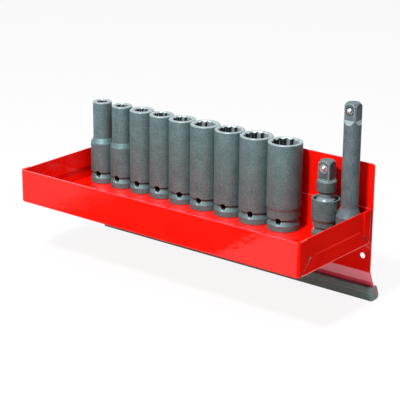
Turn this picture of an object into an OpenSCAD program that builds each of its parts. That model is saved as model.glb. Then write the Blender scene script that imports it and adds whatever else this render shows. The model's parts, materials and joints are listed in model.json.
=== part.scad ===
// Folded steel tool rack that hangs by its back plate, holding a row of deep
// 12-point impact sockets, an impact universal joint and an extension bar.
// Millimetres. X runs along the rack, Y points back to the wall and Z is up.
// The origin lies midway between the screw holes, on the back plate's rear face.

/* [Sheet metal] */
// Thickness of the folded steel sheet
sheet = 1.2; // [1:0.1:1.6]
// Outside radius of the bends along the tray floor
floor_bend_r = 2; // [1.8:0.1:3]
// Outside radius of the upright corner bends
corner_bend_r = 3.5; // [2.5:0.1:5]

/* [Tray] */
// Depth of the tray from front to back, outside
tray_d = 110.4; // [90:0.1:150]
// Height of the tray walls, from the underside of the floor
wall_h = 31.2; // [26:0.1:40]
// Height of the proud band at the foot of each end wall
band_h = 14.7; // [10:0.1:18]
// Distance from the tray's corner to the foot of the band's mitred end
band_inset = 3; // [2.5:0.1:5]
// Chamfer along the top of the band
band_chamfer = 0.6; // [0.2:0.1:0.9]
// Width of the tabs that wrap round the tray's corners
tab_w = 12; // [9:0.1:15]
// Width of the mitred slit between a tab and the band
slit_w = 1; // [0.6:0.1:1.4]

/* [Back plate] */
// Height of the plate's top edge above the underside of the tray
plate_up = 71.4; // [60:0.1:90]
// Radius of the plate's top corners
plate_corner_r = 2.5; // [1:0.1:6]
// Distance from the underside of the tray down to the lip's bend
plate_drop = 26.3; // [22:0.1:40]
// Inside radius of the lip's bend
lip_bend_r = 1.5; // [0.8:0.1:3]
// Angle that the lip leans back from the upright
lip_angle = 23.5; // [10:0.5:35]
// Length of the lip from its bend to its free edge
lip_len = 28.5; // [22:0.1:40]

/* [Screw holes] */
// Diameter of the screw holes
screw_d = 5.2; // [4:0.1:6]
// Distance from a screw hole to the plate's end
screw_inset = 8.4; // [6:0.1:14]
// Distance from the underside of the tray down to the screw holes
screw_drop = 13; // [8:0.1:18]

/* [Edge trim] */
// Height of the rubber trim's front face
trim_h = 12.6; // [11:0.1:16]
// Rubber in front of the sheet, at the trim's mouth
trim_front = 5.2; // [3:0.1:8]
// Rubber behind the sheet, at the trim's mouth
trim_back = 5.4; // [3:0.1:8]
// Angle that the trim's front face leans back from the upright
trim_lean = 9; // [4:0.5:14]
// Length of sheet that the trim grips
trim_grip = 10.2; // [8:0.1:10.6]
// Clearance between the trim's slot and the sheet
trim_play = 0.05; // [0.02:0.01:0.1]

/* [Sockets] */
// Length of every deep socket
socket_len = 79.4; // [70:0.1:90]
// Nut size of the smallest socket, across flats
nut_first = 9.525; // [9:0.005:10]
// Step from one nut size to the next
nut_step = 1.5875; // [1.4:0.0005:1.6]
// Diameters of the nut ends, smallest socket first
nose_ds = [18, 19.5, 23, 23, 25, 27.5, 27.5, 30, 31]; // [17:0.1:32]
// Diameters of the drive ends, smallest socket first
drive_ds = [23, 23, 23, 23, 25, 27.5, 27.5, 30, 29.5]; // [22.5:0.1:32]
// Depth of the 12-point broach
broach_depth = 22; // [15:0.5:30]
// Radius round the outside of the rim
rim_r = 0.9; // [0.4:0.1:1.2]
// Width of the lead-in chamfer outside the 12 points
lead_in = 0.6; // [0.3:0.1:0.9]
// Height of a wide drive end, up to the foot of its cone
hub_h = 39.5; // [32:0.1:50]
// Height of the cone from a wide drive end to a narrower nut end
hub_cone_h = 4.8; // [3:0.1:8]
// Height of a narrow drive end, up to the foot of its shoulder
shoulder_z = 18.5; // [15:0.1:24]
// Height of the shoulder from a narrow drive end to a wider nut end
shoulder_h = 3; // [1.5:0.1:5]

/* [Drive ends] */
// Width of the square drive recess, across flats
drive_af = 12.8; // [12.75:0.01:12.9]
// Depth of the square drive recess
drive_depth = 16; // [15:0.1:16.5]
// Steel left between the drive recess and the bolt clearance bore
web_t = 3; // [2:0.1:5]
// Diameter of the hole through that web
through_d = 8; // [5:0.1:9]
// Height of the ring round the foot of a drive end
ring_h = 5.4; // [4:0.1:6.5]
// Height at which the neck above the ring is narrowest
neck_z = 9; // [8:0.1:10]
// Depth of the neck below the ring's surface
neck_in = 1.6; // [0.8:0.1:1.8]
// Height of the narrowest part of the neck
neck_flat = 0.5; // [0.3:0.1:1]
// Height of the cone from the neck back out to the body
neck_out_h = 1.9; // [1.2:0.1:3]
// Radius round the foot of a drive end
foot_r = 0.8; // [0.4:0.1:1.2]
// Diameter of the retaining pin hole
pin_hole_d = 4.8; // [4:0.1:5.2]
// Height of the retaining pin hole
pin_hole_z = 9.3; // [8:0.1:10.5]

/* [Row of tools] */
// Gaps between neighbouring sockets along the row
socket_gaps = [1.8, 1.4, 1, 0.5, 0.3, 0.3, 0.8, 0.5]; // [0.3:0.1:3]
// Gap between the left end wall and the first socket
left_gap = 4.9; // [2:0.1:10]
// Gap between the last socket and the universal joint
universal_gap = 14; // [13.5:0.1:30]
// Gap between the universal joint and the extension bar
extension_gap = 1.1; // [1:0.1:10]
// Gap between the extension bar and the right end wall
right_gap = 0.4; // [0.3:0.1:10]
// Gap between the back wall and the widest socket, and the universal joint
wall_gap = 0.4; // [0.3:0.1:1]
// Gap between the back wall and the extension bar
extension_wall_gap = 3; // [1:0.1:10]

/* [Male squares] */
// Width of the male squares, across flats
square_af = 12.7; // [12.6:0.01:12.74]
// Diameter across the rounded corners of the male squares
square_corner_d = 15.8; // [15.2:0.1:16.4]
// Diameter of the flat tip of the male squares
tip_d = 9.2; // [8:0.1:12]
// Height of the tip's cone
tip_h = 4.6; // [2:0.1:5]
// Diameter of the detent balls
ball_d = 5; // [4.6:0.05:5.2]
// Distance that a detent ball stands out of its face
ball_proud = 1.1; // [0.8:0.05:1.3]
// Distance from the tip of a square to its detent ball
ball_from_tip = 6.5; // [6:0.1:9]
// Running clearance round a detent ball
ball_play = 0.05; // [0.03:0.01:0.09]
// Thickness of the staked lip that keeps a ball in
lip_t = 0.4; // [0.3:0.05:0.5]
// Depth of the bore for a ball and its spring
ball_bore_depth = 8; // [7.5:0.1:9]
// Mean radius of the ring groove that stakes the lip
stake_r = 3.4; // [3.3:0.1:4]
// Width of that groove
stake_w = 0.5; // [0.3:0.1:0.8]
// Depth of that groove
stake_depth = 0.3; // [0.2:0.1:0.5]
// Wire diameter of the detent springs
wire_d = 0.5; // [0.4:0.05:0.55]

/* [Universal joint] */
// Height of the universal joint with its head upright
universal_h = 69.8; // [66:0.1:80]
// Diameter of its drive end
universal_drive_d = 22.4; // [22.2:0.1:24]
// Diameter of its barrel
barrel_d = 24.8; // [24.6:0.1:27]
// Height of the foot of the barrel's shoulder
barrel_z = 13.1; // [12.5:0.1:16]
// Height of the barrel's shoulder
barrel_shoulder_h = 2.7; // [1.5:0.1:4]
// Height of the cup's rim
cup_rim_z = 36; // [35:0.1:38]
// Diameter of the cup
cup_d = 21.2; // [21:0.1:21.6]
// Height of the crossing pins' centre
pivot_z = 29; // [28.6:0.1:30]
// Diameter of the head's ball
head_ball_d = 20.4; // [20:0.1:20.5]
// Diameter of the neck between ball and collar
head_neck_d = 13.2; // [12:0.1:13.4]
// Diameter of the head's collar
collar_d = 17.6; // [16.8:0.1:18.4]
// Height of the collar's underside
collar_z = 43; // [42:0.1:46]
// Height of the collar, from its underside to the foot of the square
collar_h = 9.5; // [7:0.1:12]
// Width of the fork's slot
fork_gap = 9.2; // [8.6:0.1:9.6]
// Height of the slot's roof above the crossing pins
fork_roof = 6.2; // [6:0.05:6.4]
// Clearance between the block and the fork
block_play = 0.1; // [0.05:0.01:0.2]
// Length and height of the block
block_side = 9; // [8.6:0.1:9.2]
// Diameter of the main pin
main_pin_d = 5.6; // [5:0.1:6]
// Length of the main pin
main_pin_len = 24; // [23:0.1:24.4]
// Diameter of the cross pin, which passes through the main pin
cross_pin_d = 2.8; // [2.4:0.1:3]
// Length of the cross pin
cross_pin_len = 18.8; // [17:0.1:19.4]
// Clearance round the pins where they turn
pin_play = 0.05; // [0.02:0.01:0.09]
// Clearance round the pins where they are fixed
fixed_play = 0.02; // [0.01:0.01:0.04]

/* [Extension bar] */
// Length of the extension bar
extension_len = 125; // [110:0.5:150]
// Diameter of its drive end
extension_drive_d = 22.4; // [22.2:0.1:26]
// Height of its drive end
extension_drive_h = 25.3; // [22:0.1:35]
// Height of the flare from the drive end to the shaft
flare_h = 7; // [6:0.1:12]
// Diameter of its shaft
shaft_d = 15.1; // [14:0.1:15.4]
// Length of its male square, with the run-outs
square_len = 19; // [17:0.1:26]
// Length of the sloped run-outs at the foot of the square
run_out = 4.4; // [3:0.1:7]

/* [Hidden] */
$fn = 96;
overrun = 1;
steel = [0.42, 0.45, 0.46];
bright_steel = [0.72, 0.74, 0.75];
enamel = [0.8, 0.05, 0.04];
rubber = [0.2, 0.23, 0.22];

// How far each socket is turned about its axis, as the set stands in the tray
turned = [14, 9, 12, 16, 26, 11, 13, 17, 15];
extension_turned = 20;
universal_turned = -52;

// Row of tools, from left to right
socket_count = len(nose_ds);
function widest_r(i) = max(nose_ds[i], drive_ds[i]) / 2;
function run(i) = i < 0 ? 0 : run(i - 1) + 2 * widest_r(i) + (i > 0 ? socket_gaps[i - 1] : 0);
row_len = run(socket_count - 1);
widest_ds = [for (i = [0:socket_count - 1]) 2 * widest_r(i)];
tools_len = left_gap + row_len + universal_gap + barrel_d
    + extension_gap + extension_drive_d + right_gap;
rack_w = tools_len + 4 * sheet;
rack_end = rack_w / 2;
function socket_x(i) = 2 * sheet - rack_end + left_gap + run(i) - widest_r(i);
universal_x = 2 * sheet - rack_end + left_gap + row_len + universal_gap + barrel_d / 2;
extension_x = rack_end - 2 * sheet - right_gap - extension_drive_d / 2;

// Heights and depths of the tray in the rack's own frame
tray_z = screw_drop;
floor_z = tray_z + sheet;
tray_back = -sheet;
tray_front = tray_back - tray_d;
back_wall_inner = tray_back - sheet;
socket_y = back_wall_inner - wall_gap - max(widest_ds) / 2;
universal_y = back_wall_inner - wall_gap - barrel_d / 2;
extension_y = back_wall_inner - extension_wall_gap - extension_drive_d / 2;
screw_x = rack_end - screw_inset;

// The cup's chamfer clears the neck when the head tilts both ways at once
cup_chamfer_h = 1.6;
cup_rim_land = 0.9;
cup_floor_gap = 0.5;
collar_cone_h = 2.4;
collar_top_chamfer = 1;
fork_foot = 8.5;
square_foot_flare = 0.9;
square_foot_h = 1.3;

// Points of the arc that rounds corner b, between its neighbours a and c
arc_steps = 5;
function corner_arc(a, b, c, r) =
    let (u = (a - b) / norm(a - b), v = (c - b) / norm(c - b))
    r == 0 || abs(u * v) > 0.9999 ? [b] :
    let (half = acos(u * v) / 2,
         centre = b + (u + v) / norm(u + v) * r / sin(half),
         first = b + u * r / tan(half) - centre,
         turn = (180 - 2 * half) * sign(cross(v, u)))
    [for (k = [0:arc_steps])
        let (t = turn * k / arc_steps)
        centre + [first.x * cos(t) - first.y * sin(t), first.x * sin(t) + first.y * cos(t)]];

// Outline pts with every corner rounded to its own radius
function rounded(pts, radii) =
    let (n = len(pts))
    [for (i = [0:n - 1]) each corner_arc(pts[(i + n - 1) % n], pts[i], pts[(i + 1) % n], radii[i])];

// Extrude a profile drawn in Y and Z along X, or one drawn in X and Z along Y
module along_x(length) rotate([90, 0, 90]) linear_extrude(length, center = true) children();
module along_y(length) rotate([90, 0, 0]) linear_extrude(length, center = true) children();

// Rectangle with four round corners, centred
module round_rect(w, h, r) {
    square([w - 2 * r, h], center = true);
    square([w, h - 2 * r], center = true);
    for (sx = [-1, 1], sy = [-1, 1])
        translate([sx * (w / 2 - r), sy * (h / 2 - r)]) circle(r);
}

// Round-cornered box that the tray's outside fills, or its inside when inset
module pan_envelope(inset) {
    w = rack_w - 2 * inset;
    d = tray_d - 2 * inset;
    h = wall_h - inset + (inset > 0 ? overrun : 0);
    upright_r = corner_bend_r - inset;
    floor_r = floor_bend_r - inset;
    translate([0, (tray_front + tray_back) / 2, tray_z + inset]) intersection() {
        linear_extrude(h) round_rect(w, d, upright_r);
        along_x(w) translate([0, h]) round_rect(d, 2 * h, floor_r);
        along_y(d) translate([0, h]) round_rect(w, 2 * h, floor_r);
    }
}

// A profile in depth and height at the front of an end wall, and its mirror at the back
module both_ends() {
    translate([tray_front, tray_z]) children();
    translate([tray_back, tray_z]) mirror([1, 0]) children();
}

// The mitred slits between the tabs and the band
slit_run = slit_w * sqrt(2);
module end_wall_slits() both_ends() polygon([
    [band_inset - slit_run - overrun, -overrun],
    [tab_w, tab_w - band_inset + slit_run],
    [tab_w, tab_w - band_inset],
    [band_inset - overrun, -overrun]
]);

// What the outer sheet leaves open above the band, between the two tabs
module end_wall_opening() {
    foot_z = tab_w - band_inset;
    mid = tray_d / 2;
    both_ends() polygon([
        [tab_w, foot_z],
        [tab_w, wall_h + overrun],
        [mid, wall_h + overrun],
        [mid, band_h],
        [band_inset + band_h, band_h]
    ]);
}

// The upper part of an end wall, which steps in by one sheet behind the tabs
// and the band; its foot follows the mitres and closes the opening
module end_wall_panel() {
    foot_y = tab_w + slit_w;
    foot_z = foot_y - band_inset;
    step_z = band_h - sheet;
    mid = tray_d / 2;
    both_ends() polygon([
        [corner_bend_r, wall_h],
        [corner_bend_r, step_z],
        [foot_y - (step_z - foot_z), step_z],
        [foot_y, foot_z],
        [foot_y + sheet, foot_z],
        [step_z + band_inset + sheet, step_z],
        [mid, step_z],
        [mid, wall_h]
    ]);
}

module band_edge_cut() {
    top = tray_z + band_h;
    translate([0, (tray_front + tray_back) / 2, 0]) along_y(tray_d - 2 * tab_w)
        polygon([
            [rack_end - band_chamfer, top],
            [rack_end + band_chamfer, top],
            [rack_end + band_chamfer, top - 2 * band_chamfer]
        ]);
}

// The tray's inside, which the stepped-in panels leave narrower above the bands
module tray_inside() difference() {
    pan_envelope(sheet);
    for (side = [0, 1]) mirror([side, 0, 0])
        translate([rack_end - sheet, 0, 0]) along_x(2 * sheet) end_wall_panel();
}

module tray_pan() color(enamel) difference() {
    pan_envelope(0);
    tray_inside();
    for (side = [0, 1]) mirror([side, 0, 0]) {
        translate([rack_end - corner_bend_r / 2, 0, 0])
            along_x(corner_bend_r + overrun) end_wall_slits();
        translate([rack_end - sheet / 2 + overrun / 2, 0, 0])
            along_x(sheet + overrun) end_wall_opening();
        band_edge_cut();
    }
}

// The lip's bend starts at this height and turns about a centre behind the plate
bend_z = tray_z - plate_drop;
bend_outer_r = lip_bend_r + sheet;
lip_dir = [sin(lip_angle), -cos(lip_angle)];

// Where the lines of the plate and the lip would meet, at depth y from the rear face
function bend_corner(y) = [y, bend_z - (lip_bend_r - y) * tan(lip_angle / 2)];

module back_plate_profile() {
    top = tray_z + plate_up;
    outer = bend_corner(-sheet);
    inner = bend_corner(0);
    polygon(rounded([
        [-sheet, top], outer,
        outer + (lip_len + bend_outer_r * tan(lip_angle / 2)) * lip_dir,
        inner + (lip_len + lip_bend_r * tan(lip_angle / 2)) * lip_dir,
        inner, [0, top]
    ], [0, bend_outer_r, 0, 0, lip_bend_r, 0]));
}

module back_plate() color(enamel) difference() {
    intersection() {
        along_x(rack_w) back_plate_profile();
        along_y(4 * lip_len) translate([0, tray_z + plate_up - rack_end])
            round_rect(rack_w, rack_w, plate_corner_r);
    }
    for (side = [-1, 1]) translate([side * screw_x, 0, 0])
        along_y(2 * sheet + overrun) circle(d = screw_d);
}

// Free edge of the lip, on its middle line, and the mouth of the trim above it
lip_mid_r = lip_bend_r + sheet / 2;
lip_edge = [lip_bend_r, bend_z] - lip_mid_r * [cos(lip_angle), sin(lip_angle)]
    + lip_len * lip_dir;
trim_mouth = lip_edge - trim_grip * lip_dir;

module edge_trim() color(rubber) {
    mouth_slope = 0.11;
    front_top = trim_mouth + [-trim_front, trim_front * mouth_slope];
    back_top = trim_mouth + [trim_back, -trim_back * mouth_slope];
    foot = front_top.y - trim_h;
    outline = [
        front_top,
        [front_top.x + trim_h * tan(trim_lean), foot],
        [back_top.x + (back_top.y - foot) * tan(lip_angle), foot],
        back_top
    ];
    front_r = trim_front / 4;
    back_r = trim_back * 2 / 3;
    along_x(rack_w) difference() {
        polygon(rounded(outline, [front_r, front_r, back_r, front_r]));
        translate(lip_edge) rotate(lip_angle)
            translate([-sheet / 2 - trim_play, -trim_play])
                square([sheet + 2 * trim_play, 2 * trim_grip]);
    }
}

// Outline of a drive end, from its centre out over the foot and up to the body
function drive_end(r) = [
    [0, 0], [r, 0], [r, ring_h],
    [r - neck_in, neck_z], [r - neck_in, neck_z + neck_flat],
    [r, neck_z + neck_flat + neck_out_h]
];
drive_end_radii = [0, foot_r, foot_r / 2, 0, 0, foot_r];

// Square recess with its through hole, and the retaining pin hole across it
module drive_recess() {
    translate([0, 0, drive_depth / 2 - overrun / 2])
        cube([drive_af, drive_af, drive_depth + overrun], center = true);
    translate([0, 0, pin_hole_z]) along_y(4 * drive_af) circle(d = pin_hole_d);
}

// Middle stretch of a socket's outline, where the drive end meets the nut end
function socket_step(drive_r, nose_r) =
    drive_r > nose_r ? [[drive_r, hub_h], [nose_r, hub_h + hub_cone_h]] :
    drive_r < nose_r ? [[drive_r, shoulder_z], [nose_r, shoulder_z + shoulder_h]] : [];

// Star of twelve points that takes a hexagon in either of two positions
module twelve_point(af) {
    corner_r = af / 2 / cos(30);
    circle(corner_r, $fn = 6);
    rotate(30) circle(corner_r, $fn = 6);
}

module deep_socket(i) {
    af = nut_first + i * nut_step;
    drive_r = drive_ds[i] / 2;
    nose_r = nose_ds[i] / 2;
    step = socket_step(drive_r, nose_r);
    outline = concat(drive_end(drive_r), step, [[nose_r, socket_len], [0, socket_len]]);
    radii = concat(drive_end_radii, [for (p = step) foot_r], [rim_r, 0]);
    point_r = af / 2 / cos(30);
    lead_r = point_r + lead_in;
    bore_z = drive_depth + web_t;
    color(steel) translate([socket_x(i), socket_y, floor_z]) rotate(turned[i]) difference() {
        rotate_extrude() polygon(rounded(outline, radii));
        drive_recess();
        cylinder(h = bore_z + overrun, d = through_d);
        translate([0, 0, bore_z]) cylinder(h = socket_len, d = af);
        translate([0, 0, socket_len - broach_depth])
            linear_extrude(broach_depth + overrun) twelve_point(af);
        translate([0, 0, socket_len - lead_r])
            cylinder(h = lead_r + overrun, r1 = 0, r2 = lead_r + overrun);
    }
}

// Male square between heights foot and tip, widening over its run-out
module male_square(foot, tip, foot_half, run) {
    half = square_af / 2;
    corner_r = square_corner_d / 2;
    side = [
        [-foot_half, foot], [foot_half, foot], [half, foot + run],
        [half, tip], [-half, tip], [-half, foot + run]
    ];
    intersection() {
        along_x(square_corner_d) polygon(side);
        along_y(square_corner_d) polygon(side);
        rotate_extrude() polygon([
            [0, foot], [corner_r, foot], [corner_r, tip - tip_h],
            [tip_d / 2, tip], [0, tip]
        ]);
    }
}

// Bore for the detent ball and spring, with its lip and staking groove,
// opening towards -Y on a square's face at height z
module detent_bore(z) {
    face = -square_af / 2;
    stretch = sqrt(pow(ball_d / 2, 2) - pow(ball_d / 2 - ball_proud - lip_t, 2));
    translate([0, face, z]) rotate([-90, 0, 0]) {
        translate([0, 0, lip_t]) cylinder(h = ball_bore_depth - lip_t, d = ball_d + 2 * ball_play);
        translate([0, 0, -overrun]) cylinder(h = overrun + 2 * lip_t, r = stretch + ball_play);
        translate([0, 0, -overrun]) difference() {
            cylinder(h = overrun + stake_depth, r = stake_r + stake_w / 2);
            cylinder(h = overrun + stake_depth, r = stake_r - stake_w / 2);
        }
    }
}

module detent_ball(z) color(bright_steel)
    translate([0, ball_d / 2 - ball_proud - square_af / 2, z]) sphere(d = ball_d);

// Spring between the ball and the end of its bore: one tube swept along a helix
spring_turns = 4;
spring_rings = 8;
spring_sides = 6;
spring_mean_r = ball_d / 2 - wire_d / 2 - 3 * ball_play;
function spring_point(k, side) =
    let (n = spring_turns * spring_rings,
         wire_r = wire_d / 2,
         first = ball_d / 2 - ball_proud
            + sqrt(pow(ball_d / 2 + wire_r + ball_play, 2) - pow(spring_mean_r, 2)),
         last = ball_bore_depth - wire_r - ball_play,
         turn = 360 * k / spring_rings,
         around = 360 * side / spring_sides,
         r = spring_mean_r + wire_r * cos(around))
    [r * cos(turn), r * sin(turn), first + (last - first) * k / n + wire_r * sin(around)];

module detent_spring(z) {
    n = spring_turns * spring_rings;
    s = spring_sides;
    points = [for (k = [0:n], side = [0:s - 1]) spring_point(k, side)];
    skin = [for (k = [0:n - 1], side = [0:s - 1])
        let (a = k * s + side, b = k * s + (side + 1) % s)
        each [[a, a + s, b], [b, a + s, b + s]]];
    caps = [[for (side = [0:s - 1]) side], [for (side = [0:s - 1]) n * s + s - 1 - side]];
    color(bright_steel) translate([0, -square_af / 2, z]) rotate([-90, 0, 0])
        polyhedron(points, concat(skin, caps));
}

module at_universal() translate([universal_x, universal_y, floor_z]) children();
module at_extension() translate([extension_x, extension_y, floor_z]) children();

module universal_body() color(steel) at_universal() {
    drive_r = universal_drive_d / 2;
    barrel_r = barrel_d / 2;
    cup_r = cup_d / 2;
    cup_z = pivot_z - head_ball_d / 2 - cup_floor_gap;
    outline = concat(drive_end(drive_r), [
        [drive_r, barrel_z], [barrel_r, barrel_z + barrel_shoulder_h],
        [barrel_r, cup_rim_z], [0, cup_rim_z]
    ]);
    radii = concat(drive_end_radii, [foot_r, foot_r, foot_r / 2, 0]);
    difference() {
        rotate_extrude() polygon(rounded(outline, radii));
        rotate(universal_turned) drive_recess();
        translate([0, 0, cup_z]) cylinder(h = cup_rim_z, r = cup_r);
        translate([0, 0, cup_rim_z - cup_chamfer_h])
            cylinder(h = cup_chamfer_h + overrun,
                     r1 = cup_r,
                     r2 = cup_r + (barrel_r - cup_rim_land - cup_r) * (1 + overrun / cup_chamfer_h));
        translate([0, 0, pivot_z]) along_x(2 * barrel_d) circle(d = main_pin_d + 2 * pin_play);
    }
}

module universal_block() color(steel) at_universal() {
    width = fork_gap - 2 * block_play;
    translate([0, 0, pivot_z]) difference() {
        cube([block_side, width, block_side], center = true);
        along_x(2 * block_side) circle(d = main_pin_d + 2 * fixed_play);
        along_y(2 * block_side) circle(d = cross_pin_d + 2 * fixed_play);
    }
}

module universal_main_pin() color(bright_steel) at_universal() translate([0, 0, pivot_z])
    difference() {
        along_x(main_pin_len) circle(d = main_pin_d);
        along_y(2 * main_pin_d) circle(d = cross_pin_d + 2 * fixed_play);
    }

module universal_cross_pin() color(bright_steel) at_universal()
    translate([0, 0, pivot_z]) along_y(cross_pin_len) circle(d = cross_pin_d);

// Head of the universal joint: a slotted ball that works in the cup, a neck,
// a collar and the male square, all in one forging
module universal_head() color(steel) at_universal() {
    ball_r = head_ball_d / 2;
    neck_r = head_neck_d / 2;
    collar_r = collar_d / 2;
    square_foot = collar_z + collar_h;
    neck_foot = pivot_z + fork_roof / 2;
    difference() {
        union() {
            translate([0, 0, pivot_z]) difference() {
                sphere(ball_r);
                translate([0, 0, -fork_foot - ball_r]) cube(2 * ball_r, center = true);
            }
            rotate_extrude() polygon([
                [0, neck_foot], [neck_r, neck_foot], [neck_r, collar_z - collar_cone_h],
                [collar_r, collar_z], [collar_r, square_foot - collar_top_chamfer],
                [collar_r - collar_top_chamfer, square_foot], [0, square_foot]
            ]);
            male_square(square_foot - overrun, universal_h,
                        square_af / 2 + square_foot_flare, square_foot_h + overrun);
        }
        translate([0, 0, pivot_z + fork_roof - 2 * ball_r])
            cube([4 * ball_r, fork_gap, 4 * ball_r], center = true);
        translate([0, 0, pivot_z]) along_y(4 * ball_r) circle(d = cross_pin_d + 2 * pin_play);
        detent_bore(universal_h - ball_from_tip);
    }
}

module universal_detent_ball() at_universal() detent_ball(universal_h - ball_from_tip);
module universal_detent_spring() at_universal() detent_spring(universal_h - ball_from_tip);

// Extension bar: the same drive end, a hollow flare, a shaft and a male square
// whose flats run out in slopes on the shaft
module extension_bar() color(steel) at_extension() {
    drive_r = extension_drive_d / 2;
    shaft_r = shaft_d / 2;
    square_foot = extension_len - square_len;
    flare_steps = 8;
    flare = [for (k = [0:flare_steps])
        let (t = 90 * k / flare_steps)
        [shaft_r + (drive_r - foot_r - shaft_r) * (1 - sin(t)),
         extension_drive_h + flare_h * (1 - cos(t))]];
    edge = [[drive_r, extension_drive_h]];
    outline = concat(drive_end(drive_r), edge, flare, [[shaft_r, square_foot], [0, square_foot]]);
    radii = concat(drive_end_radii, [foot_r / 2], [for (p = flare) 0], [0, 0]);
    difference() {
        union() {
            rotate_extrude() polygon(rounded(outline, radii));
            male_square(square_foot, extension_len, shaft_r, run_out);
        }
        rotate(extension_turned) drive_recess();
        detent_bore(extension_len - ball_from_tip);
    }
}

module extension_detent_ball() at_extension() detent_ball(extension_len - ball_from_tip);
module extension_detent_spring() at_extension() detent_spring(extension_len - ball_from_tip);

tray_pan();
back_plate();
edge_trim();
deep_socket(0);  // socket_3_8
deep_socket(1);  // socket_7_16
deep_socket(2);  // socket_1_2
deep_socket(3);  // socket_9_16
deep_socket(4);  // socket_5_8
deep_socket(5);  // socket_11_16
deep_socket(6);  // socket_3_4
deep_socket(7);  // socket_13_16
deep_socket(8);  // socket_7_8
universal_body();
universal_block();
universal_main_pin();
universal_cross_pin();
universal_head();
universal_detent_ball();
universal_detent_spring();
extension_bar();
extension_detent_ball();
extension_detent_spring();
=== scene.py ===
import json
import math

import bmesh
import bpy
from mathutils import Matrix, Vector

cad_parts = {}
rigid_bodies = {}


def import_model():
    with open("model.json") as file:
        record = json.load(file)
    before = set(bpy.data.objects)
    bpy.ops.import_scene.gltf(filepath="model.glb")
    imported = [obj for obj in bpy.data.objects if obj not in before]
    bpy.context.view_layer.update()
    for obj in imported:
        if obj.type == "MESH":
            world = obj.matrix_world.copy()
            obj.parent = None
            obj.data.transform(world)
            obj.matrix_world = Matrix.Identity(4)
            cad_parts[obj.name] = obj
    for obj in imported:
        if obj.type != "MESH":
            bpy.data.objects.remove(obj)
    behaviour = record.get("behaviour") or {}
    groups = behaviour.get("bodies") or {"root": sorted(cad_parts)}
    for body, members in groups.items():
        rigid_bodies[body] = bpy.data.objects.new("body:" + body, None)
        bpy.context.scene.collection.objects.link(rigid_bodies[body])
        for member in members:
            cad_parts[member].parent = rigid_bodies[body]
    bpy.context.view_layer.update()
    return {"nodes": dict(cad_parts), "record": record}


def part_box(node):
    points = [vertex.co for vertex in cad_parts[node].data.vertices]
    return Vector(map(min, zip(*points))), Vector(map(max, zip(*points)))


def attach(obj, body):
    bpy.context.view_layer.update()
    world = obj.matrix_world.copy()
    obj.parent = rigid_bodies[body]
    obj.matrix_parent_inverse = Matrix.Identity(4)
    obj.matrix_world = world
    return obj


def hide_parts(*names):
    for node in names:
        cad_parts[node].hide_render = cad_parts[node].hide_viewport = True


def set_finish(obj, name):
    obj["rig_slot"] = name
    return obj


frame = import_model()

# %% [markdown]
# # A wall rack of deep impact sockets
#
# The object is a folded steel tray, sprayed in glossy red enamel, on a tall back plate that
# hangs on a wall. The plate's lower edge is bent back and wears a rubber trim. The tray holds
# nine deep 12-point impact sockets, a universal joint and an extension bar, all half-inch
# drive and all finished in grey phosphate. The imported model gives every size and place; this
# script rebuilds the visible pieces with rounded edges and real finishes around it.

MM = 0.001
nodes = frame["nodes"]


def say(*words):
    print("scene:", *words)


say(len(nodes), "nodes in the frame")

# %% [markdown]
# ## The camera
#
# The photograph was taken with a long lens from the front right, a little above the tray. The
# camera's place and turn were solved from the tray's corners, so that the same corners land on
# the same pixels. A long lens keeps the sockets upright and nearly parallel, which a wide lens
# close by would not.

# %% Camera
eye = Vector((0.78224, -1.03994, 0.45522))
yaw, pitch, roll = (math.radians(a) for a in (-38.081, 18.550, 0.478))
ahead = Vector((math.sin(yaw) * math.cos(pitch), math.cos(yaw) * math.cos(pitch), -math.sin(pitch)))
level = Vector((math.cos(yaw), -math.sin(yaw), 0))
upward = level.cross(ahead)
right = math.cos(roll) * level + math.sin(roll) * upward
top = -math.sin(roll) * level + math.cos(roll) * upward

lens = bpy.data.cameras.new("camera")
lens.lens = 133.97
lens.sensor_width = 36
camera = bpy.data.objects.new("camera", lens)
bpy.context.scene.collection.objects.link(camera)
turn = Matrix((right, top, -ahead)).transposed().to_4x4()
camera.matrix_world = Matrix.Translation(eye) @ turn
bpy.context.scene.camera = camera
say("camera", [round(v, 3) for v in eye])

# %% [markdown]
# ## Working by hand
#
# Every piece starts from one primitive and is shaped in edit mode with the same operators as by
# hand: extrude, bevel, spin, bisect and scale. An operator acts on all that is selected, so each
# step first selects the faces, edges or points it needs by their place. Long or turned shapes
# start as a single point that is extruded along the outline, and the outline is then spun round
# an axis or pushed along one.


# %% Selecting and finishing
def open_piece(name, *, x=0, y=0, z=0, add=bpy.ops.mesh.primitive_plane_add, **settings):
    """Add a primitive at a place in millimetres, set its origin to 0 and open it in edit mode."""
    bpy.ops.object.select_all(action="DESELECT")
    add(location=(x * MM, y * MM, z * MM), **settings)
    piece = bpy.context.object
    piece.name = piece.data.name = name
    bpy.ops.object.transform_apply(location=True, rotation=True, scale=True)
    bpy.ops.object.mode_set(mode="EDIT")
    return piece


def pick(kind, test):
    """Select the verts, edges or faces whose middle, in millimetres, and normal pass a test."""
    bpy.ops.mesh.select_mode(type={"verts": "VERT", "edges": "EDGE", "faces": "FACE"}[kind])
    bpy.ops.mesh.select_all(action="DESELECT")
    mesh = bmesh.from_edit_mesh(bpy.context.object.data)
    for item in getattr(mesh, kind):
        if kind == "verts":
            middle, way = item.co, item.normal
        elif kind == "edges":
            a, b = (v.co for v in item.verts)
            middle, way = (a + b) / 2, (b - a).normalized()
        else:
            middle, way = item.calc_center_median(), item.normal
        if test(middle / MM, way):
            item.select_set(True)
    mesh.select_flush_mode()
    bmesh.update_edit_mesh(bpy.context.object.data)


def choose(piece):
    """Leave edit mode and make a piece the only selected one."""
    if bpy.context.object and bpy.context.object.mode == "EDIT":
        bpy.ops.object.mode_set(mode="OBJECT")
    bpy.ops.object.select_all(action="DESELECT")
    piece.select_set(True)
    bpy.context.view_layer.objects.active = piece


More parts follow.
